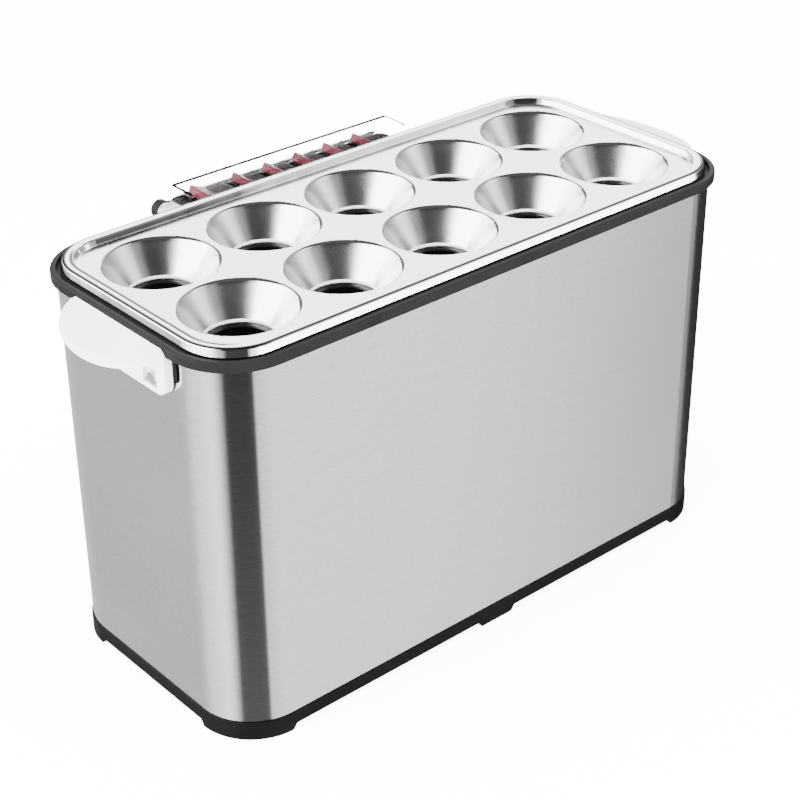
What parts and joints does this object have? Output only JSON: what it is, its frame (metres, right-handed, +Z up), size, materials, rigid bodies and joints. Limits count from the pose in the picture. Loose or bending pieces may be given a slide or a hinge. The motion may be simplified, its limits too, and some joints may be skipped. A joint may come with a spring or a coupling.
{
  "type": "upright roll cooker",
  "caption": "Countertop cooker with upright heated tubes under a pressed steel top, end handles and a hooded switch box.",
  "frame": {"origin": "on the table, under the middle of the whole machine's bounding box", "axes": "+X along the long side towards the right-hand handle, +Y towards the switch housing on the back, +Z up"},
  "size_m": [0.4688, 0.2232, 0.2602],
  "materials": {
    "shell": "satin, fine horizontal brush grain",
    "plate": "polished, pressed",
    "rim": "moulded, low sheen",
    "base": "moulded, low sheen",
    "sheet": "zinc plated",
    "screw": "zinc plated",
    "tube": "dark non-stick coating",
    "heater": "heat-stained sleeve",
    "handle": "moulded, soft gloss",
    "pad": "matt sheet",
    "housing": "moulded, low sheen",
    "switch": "moulded, semi-gloss",
    "rocker": "translucent red, gloss",
    "hood": "clear plastic, gloss",
    "gland": "moulded",
    "block": "moulded"
  },
  "bodies": {
    "case": {"body_shell": "shell", "base_frame": "base", "base_plate": "sheet", "base_screws": "screw", "top_rim": "rim", "top_plate": "plate", "heater_clamp_screws": "screw", "tube_tray": "sheet", "tray_spacers": "sheet", "tie_rods": "sheet", "tie_rod_nuts": "screw", "handle_left": "handle", "handle_right": "handle", "handle_pad_left": "pad", "handle_pad_right": "pad", "handle_screws": "screw", "handle_nuts": "screw", "switch_housing": "housing", "housing_screws": "screw", "main_switch_body": "switch", "hood_pin": "screw", "cord_gland": "gland", "gland_nut": "gland", "terminal_block": "block", "terminal_screws": "screw", "tube_front_1": "tube", "tube_back_1": "tube", "heater_front_1": "heater", "heater_back_1": "heater", "switch_body_1": "switch", "tube_front_2": "tube", "tube_back_2": "tube", "heater_front_2": "heater", "heater_back_2": "heater", "switch_body_2": "switch", "tube_front_3": "tube", "tube_back_3": "tube", "heater_front_3": "heater", "heater_back_3": "heater", "switch_body_3": "switch", "tube_front_4": "tube", "tube_back_4": "tube", "heater_front_4": "heater", "heater_back_4": "heater", "switch_body_4": "switch", "tube_front_5": "tube", "tube_back_5": "tube", "heater_front_5": "heater", "heater_back_5": "heater", "switch_body_5": "switch"},
    "hood": {"switch_hood": "hood"},
    "main_rocker": {"main_rocker": "rocker"},
    "rocker_1": {"rocker_1": "rocker"},
    "rocker_2": {"rocker_2": "rocker"},
    "rocker_3": {"rocker_3": "rocker"},
    "rocker_4": {"rocker_4": "rocker"},
    "rocker_5": {"rocker_5": "rocker"}
  },
  "joints": [
    {"name": "hood_hinge", "type": "hinge", "parent": "case", "child": "hood", "pos_m": [-0.0915, 0.095, 0.2435], "axis": [0, -1, 0], "range_deg": [0, 110]},
    {"name": "main_rocker_pivot", "type": "hinge", "parent": "case", "child": "main_rocker", "pos_m": [-0.0592, 0.0941, 0.248], "axis": [0, -1, 0], "range_deg": [0, 22]},
    {"name": "rocker_1_pivot", "type": "hinge", "parent": "case", "child": "rocker_1", "pos_m": [-0.0299, 0.0941, 0.248], "axis": [0, -1, 0], "range_deg": [0, 22]},
    {"name": "rocker_2_pivot", "type": "hinge", "parent": "case", "child": "rocker_2", "pos_m": [-0.0051, 0.0941, 0.248], "axis": [0, -1, 0], "range_deg": [0, 22]},
    {"name": "rocker_3_pivot", "type": "hinge", "parent": "case", "child": "rocker_3", "pos_m": [0.0197, 0.0941, 0.248], "axis": [0, -1, 0], "range_deg": [0, 22]},
    {"name": "rocker_4_pivot", "type": "hinge", "parent": "case", "child": "rocker_4", "pos_m": [0.0445, 0.0941, 0.248], "axis": [0, -1, 0], "range_deg": [0, 22]},
    {"name": "rocker_5_pivot", "type": "hinge", "parent": "case", "child": "rocker_5", "pos_m": [0.0693, 0.0941, 0.248], "axis": [0, -1, 0], "range_deg": [0, 22]}
  ]
}
